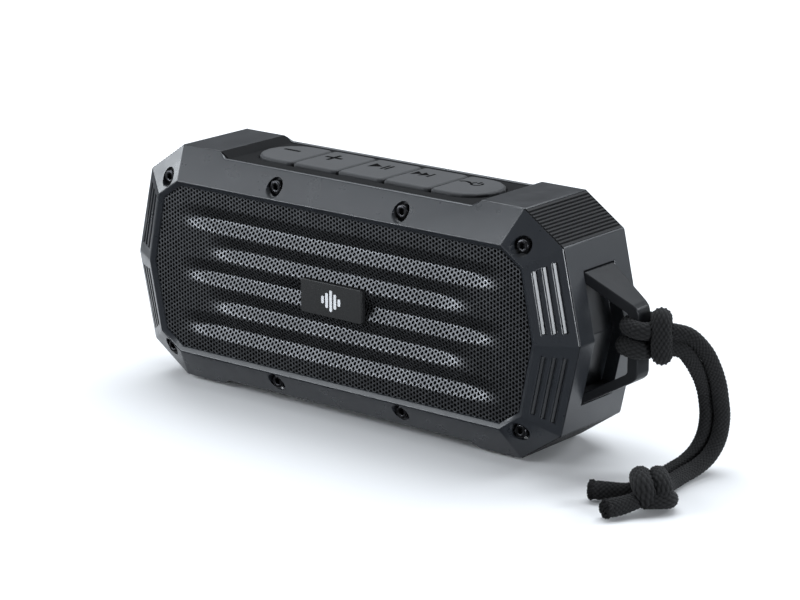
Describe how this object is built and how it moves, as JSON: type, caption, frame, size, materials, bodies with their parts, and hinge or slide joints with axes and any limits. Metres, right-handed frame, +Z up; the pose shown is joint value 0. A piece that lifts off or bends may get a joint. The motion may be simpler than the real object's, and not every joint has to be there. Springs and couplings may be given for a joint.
{
  "type": "shower speaker",
  "caption": "Rugged splash-proof portable speaker with a corrugated grille between sloped bezels, rubber top keys, ribbed corner grips, an end strap loop and a knotted lanyard.",
  "frame": {"origin": "on the standing plane, under the middle of the box of the body and its strap loop", "axes": "+X along the body towards the strap loop, -Y out of the grille, +Z up"},
  "size_m": [0.2378, 0.0721, 0.0854],
  "materials": {
    "shell_plastic": "satin blue-grey moulded plastic",
    "housing_plastic": "satin dark grey moulded plastic",
    "black_rubber": "matt black rubber",
    "key_rubber": "soft matt grey rubber",
    "grille_steel": "black painted perforated steel",
    "badge": "smooth black with a plain pale mark",
    "screw_steel": "black oxide",
    "grille_cloth": "black acoustic cloth",
    "inner_plastic": "black moulded plastic",
    "speaker_cone": "coated paper",
    "driver_steel": "plated steel",
    "circuit_board": "green solder mask",
    "socket_steel": "plated steel",
    "cell_wrap": "blue shrink wrap",
    "cord_braid": "black braided polyester"
  },
  "bodies": {
    "speaker": {"audio_jack": "inner_plastic", "badge": "badge", "baffle": "inner_plastic", "battery_pack": "cell_wrap", "button_board": "circuit_board", "charging_socket": "socket_steel", "driver_basket_left": "driver_steel", "driver_basket_right": "driver_steel", "foot_left": "black_rubber", "foot_right": "black_rubber", "front_frame": "shell_plastic", "front_screw_1": "screw_steel", "front_screw_2": "screw_steel", "front_screw_3": "screw_steel", "front_screw_4": "screw_steel", "front_screw_5": "screw_steel", "front_screw_6": "screw_steel", "front_screw_7": "screw_steel", "front_screw_8": "screw_steel", "front_seal": "black_rubber", "grille": "grille_steel", "grille_cloth": "grille_cloth", "grip_pad_lower_left": "black_rubber", "grip_pad_lower_right": "black_rubber", "grip_pad_upper_left": "black_rubber", "grip_pad_upper_right": "black_rubber", "key_mat": "black_rubber", "lanyard_end_knot": "cord_braid", "lanyard_hitch": "cord_braid", "lanyard_strand_a": "cord_braid", "lanyard_strand_b": "cord_braid", "lanyard_tail_a": "cord_braid", "lanyard_tail_b": "cord_braid", "loop_screw_lower": "screw_steel", "loop_screw_upper": "screw_steel", "main_board": "circuit_board", "middle_housing": "housing_plastic", "radiator_surround": "black_rubber", "rear_cover": "shell_plastic", "rear_screw_1": "screw_steel", "rear_screw_2": "screw_steel", "rear_screw_3": "screw_steel", "rear_screw_4": "screw_steel", "rear_seal": "black_rubber", "strap_loop": "shell_plastic", "switch_next": "inner_plastic", "switch_play": "inner_plastic", "switch_power": "inner_plastic", "switch_volume_down": "inner_plastic", "switch_volume_up": "inner_plastic"},
    "key_volume_down": {"key_volume_down": "key_rubber"},
    "key_volume_up": {"key_volume_up": "key_rubber"},
    "key_play": {"key_play": "key_rubber"},
    "key_next": {"key_next": "key_rubber"},
    "key_power": {"key_power": "key_rubber"},
    "left_cone": {"driver_cone_left": "speaker_cone"},
    "right_cone": {"driver_cone_right": "speaker_cone"},
    "radiator": {"passive_radiator": "black_rubber"},
    "flap": {"port_flap": "black_rubber"}
  },
  "joints": [
    {"name": "press_volume_down", "type": "slide", "parent": "speaker", "child": "key_volume_down", "axis": [0, 0, -1], "range_m": [0, 0.0006], "stiffness_N_per_m": 2000},
    {"name": "press_volume_up", "type": "slide", "parent": "speaker", "child": "key_volume_up", "axis": [0, 0, -1], "range_m": [0, 0.0006], "stiffness_N_per_m": 2000},
    {"name": "press_play", "type": "slide", "parent": "speaker", "child": "key_play", "axis": [0, 0, -1], "range_m": [0, 0.0006], "stiffness_N_per_m": 2000},
    {"name": "press_next", "type": "slide", "parent": "speaker", "child": "key_next", "axis": [0, 0, -1], "range_m": [0, 0.0006], "stiffness_N_per_m": 2000},
    {"name": "press_power", "type": "slide", "parent": "speaker", "child": "key_power", "axis": [0, 0, -1], "range_m": [0, 0.0006], "stiffness_N_per_m": 2000},
    {"name": "left_cone_travel", "type": "slide", "parent": "speaker", "child": "left_cone", "axis": [0, 1, 0], "range_m": [-0.0015, 0.0015], "stiffness_N_per_m": 1500},
    {"name": "right_cone_travel", "type": "slide", "parent": "speaker", "child": "right_cone", "axis": [0, 1, 0], "range_m": [-0.0015, 0.0015], "stiffness_N_per_m": 1500},
    {"name": "radiator_travel", "type": "slide", "parent": "speaker", "child": "radiator", "axis": [0, 1, 0], "range_m": [-0.0015, 0.0015], "stiffness_N_per_m": 1500},
    {"name": "flap_hinge", "type": "hinge", "parent": "speaker", "child": "flap", "pos_m": [-0.0645, 0.0246, 0.0372], "axis": [-1, 0, 0], "range_deg": [0, 105], "stiffness_Nm_per_rad": 0.01}
  ]
}
